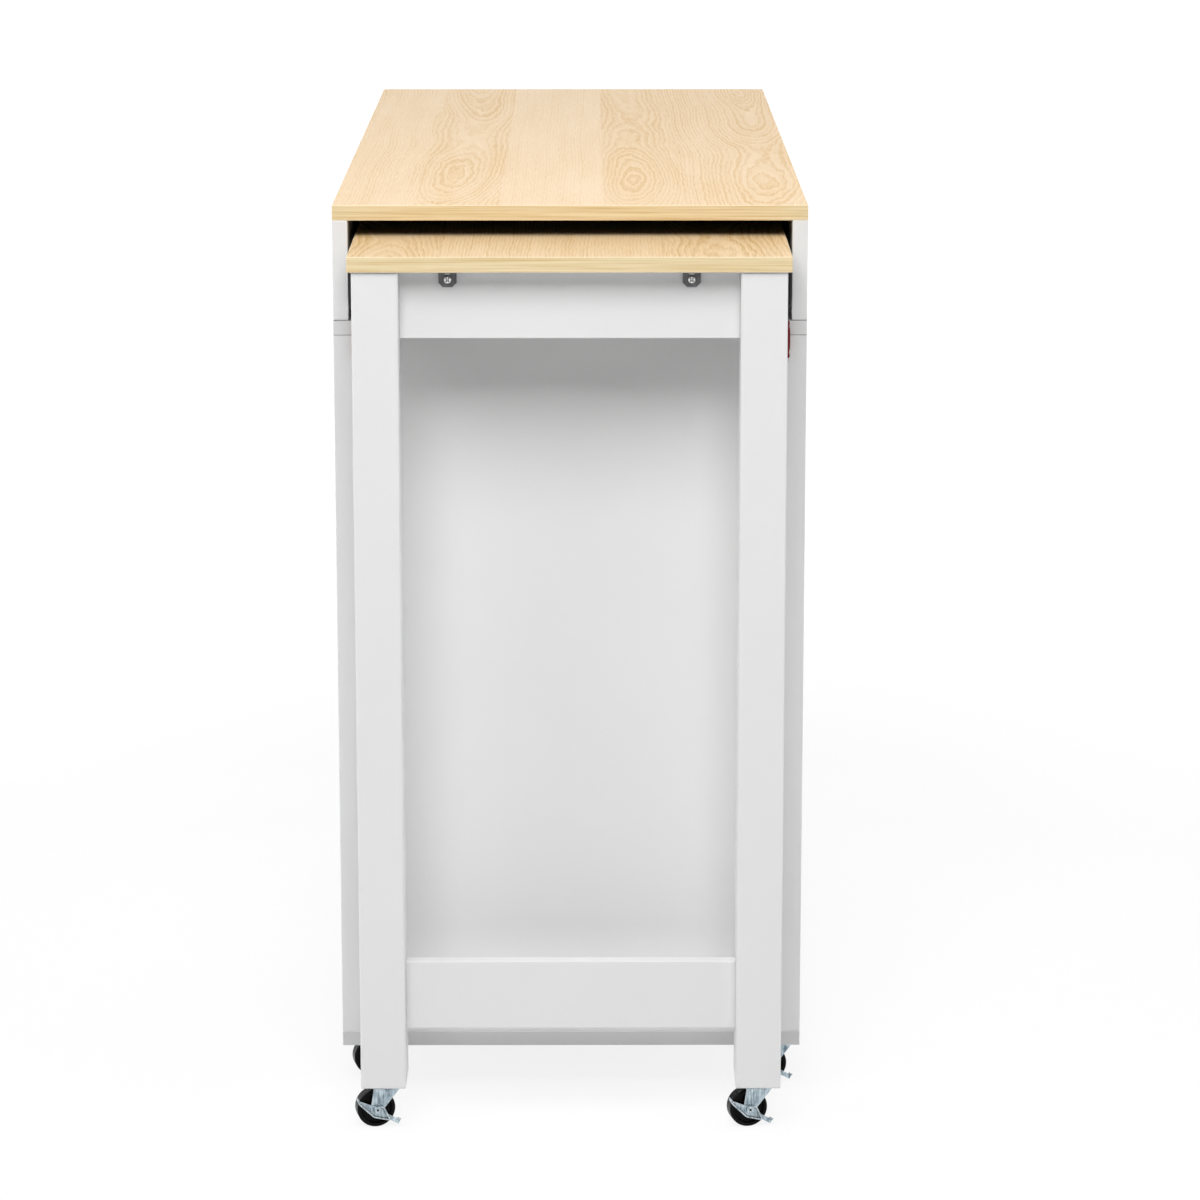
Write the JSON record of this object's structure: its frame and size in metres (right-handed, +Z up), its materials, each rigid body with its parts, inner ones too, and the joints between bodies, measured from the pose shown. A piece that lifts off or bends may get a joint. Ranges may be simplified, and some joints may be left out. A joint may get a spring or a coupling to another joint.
{
  "type": "kitchen island",
  "caption": "Castered kitchen island with a wood-look worktop, a pull-out table on its own castered legs, a cupboard with hinged doors and an open shelf bay.",
  "frame": {"origin": "on the floor, under the middle of the whole object as it stands at rest with the table pulled out a little", "axes": "+X along the island towards the end where the table pulls out, -Y the long front with the doors, +Z up"},
  "size_m": [1.237, 0.482, 0.896],
  "materials": {
    "white_laminate": "white satin laminate on board",
    "maple_laminate": "pale maple grain, satin",
    "caster_zinc": "bluish zinc plate",
    "wheel_black": "black moulded",
    "runner_black": "black coat",
    "bracket_grey": "dark grey",
    "bright_screw": "bright plate",
    "hinge_steel": "nickel plate",
    "knob_nickel": "satin nickel",
    "bumper_red": "dark red"
  },
  "bodies": {
    "carcass": {"base_board": "white_laminate", "deck_board": "white_laminate", "worktop": "maple_laminate", "near_end_panel": "white_laminate", "far_end_panel": "white_laminate", "front_upper_side": "white_laminate", "back_upper_side": "white_laminate", "far_upper_end": "white_laminate", "back_panel": "white_laminate", "divider_panel": "white_laminate", "adjustable_shelf": "white_laminate", "open_bay_shelves": "white_laminate", "shelf_pins": "hinge_steel", "carcass_hinge_leaves": "hinge_steel", "hinge_pins": "hinge_steel", "runner_channels": "runner_black", "stop_bumpers": "bumper_red", "body_caster_plates": "caster_zinc", "body_caster_screws": "caster_zinc"},
    "table": {"table_top": "maple_laminate", "left_leg": "white_laminate", "right_leg": "white_laminate", "table_side_rails": "white_laminate", "table_rear_rail": "white_laminate", "table_apron": "white_laminate", "leg_stretcher": "white_laminate", "angle_brackets": "bracket_grey", "bracket_screws": "bright_screw", "runner_slides": "runner_black", "leg_caster_plates": "caster_zinc", "leg_caster_screws": "caster_zinc"},
    "runner_middles": {"runner_middles": "runner_black"},
    "far_door": {"far_door": "white_laminate", "far_door_knob": "knob_nickel", "far_door_hinge_leaves": "hinge_steel"},
    "near_door": {"near_door": "white_laminate", "near_door_knob": "knob_nickel", "near_door_hinge_leaves": "hinge_steel"},
    "near_left_caster": {"near_left_fork": "caster_zinc", "near_left_axle": "caster_zinc"},
    "near_left_wheel": {"near_left_wheel": "wheel_black"},
    "near_right_caster": {"near_right_fork": "caster_zinc", "near_right_axle": "caster_zinc"},
    "near_right_wheel": {"near_right_wheel": "wheel_black"},
    "near_right_lever": {"near_right_brake_lever": "caster_zinc"},
    "far_left_caster": {"far_left_fork": "caster_zinc", "far_left_axle": "caster_zinc"},
    "far_left_wheel": {"far_left_wheel": "wheel_black"},
    "far_left_lever": {"far_left_brake_lever": "caster_zinc"},
    "far_right_caster": {"far_right_fork": "caster_zinc", "far_right_axle": "caster_zinc"},
    "far_right_wheel": {"far_right_wheel": "wheel_black"},
    "leg_left_caster": {"leg_left_fork": "caster_zinc", "leg_left_axle": "caster_zinc"},
    "leg_left_wheel": {"leg_left_wheel": "wheel_black"},
    "leg_left_lever": {"leg_left_brake_lever": "caster_zinc"},
    "leg_right_caster": {"leg_right_fork": "caster_zinc", "leg_right_axle": "caster_zinc"},
    "leg_right_wheel": {"leg_right_wheel": "wheel_black"},
    "leg_right_lever": {"leg_right_brake_lever": "caster_zinc"}
  },
  "joints": [
    {"name": "table_slide", "type": "slide", "parent": "carcass", "child": "table", "axis": [1, 0, 0], "range_m": [-0.0677, 0.58]},
    {"name": "runner_slide", "type": "slide", "parent": "carcass", "child": "runner_middles", "axis": [1, 0, 0], "range_m": [-0.03385, 0.29]},
    {"name": "far_door_hinge", "type": "hinge", "parent": "carcass", "child": "far_door", "pos_m": [-0.6023, -0.222, 0.415], "axis": [0, 0, -1], "range_deg": [0, 110]},
    {"name": "near_door_hinge", "type": "hinge", "parent": "carcass", "child": "near_door", "pos_m": [0.0953, -0.222, 0.415], "axis": [0, 0, 1], "range_deg": [0, 110]},
    {"name": "near_left_swivel", "type": "hinge", "parent": "carcass", "child": "near_left_caster", "pos_m": [0.4275, -0.183, 0.046], "axis": [0, 0, 1], "continuous": true},
    {"name": "near_left_roll", "type": "hinge", "parent": "near_left_caster", "child": "near_left_wheel", "pos_m": [0.42992, -0.1927, 0.019], "axis": [0.9703, 0.2419, 0], "continuous": true},
    {"name": "near_right_swivel", "type": "hinge", "parent": "carcass", "child": "near_right_caster", "pos_m": [0.4515, 0.219, 0.046], "axis": [0, 0, 1], "continuous": true},
    {"name": "near_right_roll", "type": "hinge", "parent": "near_right_caster", "child": "near_right_wheel", "pos_m": [0.45392, 0.2093, 0.019], "axis": [0.9703, 0.2419, 0], "continuous": true},
    {"name": "near_right_brake", "type": "hinge", "parent": "near_right_caster", "child": "near_right_lever", "pos_m": [0.46411, 0.21184, 0.019], "axis": [0.9703, 0.2419, 0], "range_deg": [0, 25]},
    {"name": "far_left_swivel", "type": "hinge", "parent": "carcass", "child": "far_left_caster", "pos_m": [-0.5645, -0.183, 0.046], "axis": [0, 0, 1], "continuous": true},
    {"name": "far_left_roll", "type": "hinge", "parent": "far_left_caster", "child": "far_left_wheel", "pos_m": [-0.5692, -0.19183, 0.019], "axis": [0.8829, -0.4695, 0], "continuous": true},
    {"name": "far_left_brake", "type": "hinge", "parent": "far_left_caster", "child": "far_left_lever", "pos_m": [-0.55992, -0.19676, 0.019], "axis": [0.8829, -0.4695, 0], "range_deg": [0, 25]},
    {"name": "far_right_swivel", "type": "hinge", "parent": "carcass", "child": "far_right_caster", "pos_m": [-0.5885, 0.219, 0.046], "axis": [0, 0, 1], "continuous": true},
    {"name": "far_right_roll", "type": "hinge", "parent": "far_right_caster", "child": "far_right_wheel", "pos_m": [-0.5835, 0.21034, 0.019], "axis": [0.866, 0.5, 0], "continuous": true},
    {"name": "leg_left_swivel", "type": "hinge", "parent": "table", "child": "leg_left_caster", "pos_m": [0.5855, -0.172, 0.046], "axis": [0, 0, 1], "continuous": true},
    {"name": "leg_left_roll", "type": "hinge", "parent": "leg_left_caster", "child": "leg_left_wheel", "pos_m": [0.58792, -0.1817, 0.019], "axis": [0.9703, 0.2419, 0], "continuous": true},
    {"name": "leg_left_brake", "type": "hinge", "parent": "leg_left_caster", "child": "leg_left_lever", "pos_m": [0.59811, -0.17916, 0.019], "axis": [0.9703, 0.2419, 0], "range_deg": [0, 25]},
    {"name": "leg_right_swivel", "type": "hinge", "parent": "table", "child": "leg_right_caster", "pos_m": [0.5855, 0.194, 0.046], "axis": [0, 0, 1], "continuous": true},
    {"name": "leg_right_roll", "type": "hinge", "parent": "leg_right_caster", "child": "leg_right_wheel", "pos_m": [0.58792, 0.1843, 0.019], "axis": [0.9703, 0.2419, 0], "continuous": true},
    {"name": "leg_right_brake", "type": "hinge", "parent": "leg_right_caster", "child": "leg_right_lever", "pos_m": [0.59811, 0.18684, 0.019], "axis": [0.9703, 0.2419, 0], "range_deg": [0, 25]}
  ],
  "couplings": [
    {"joint": "runner_slide", "follows": "table_slide", "ratio": 0.5}
  ]
}
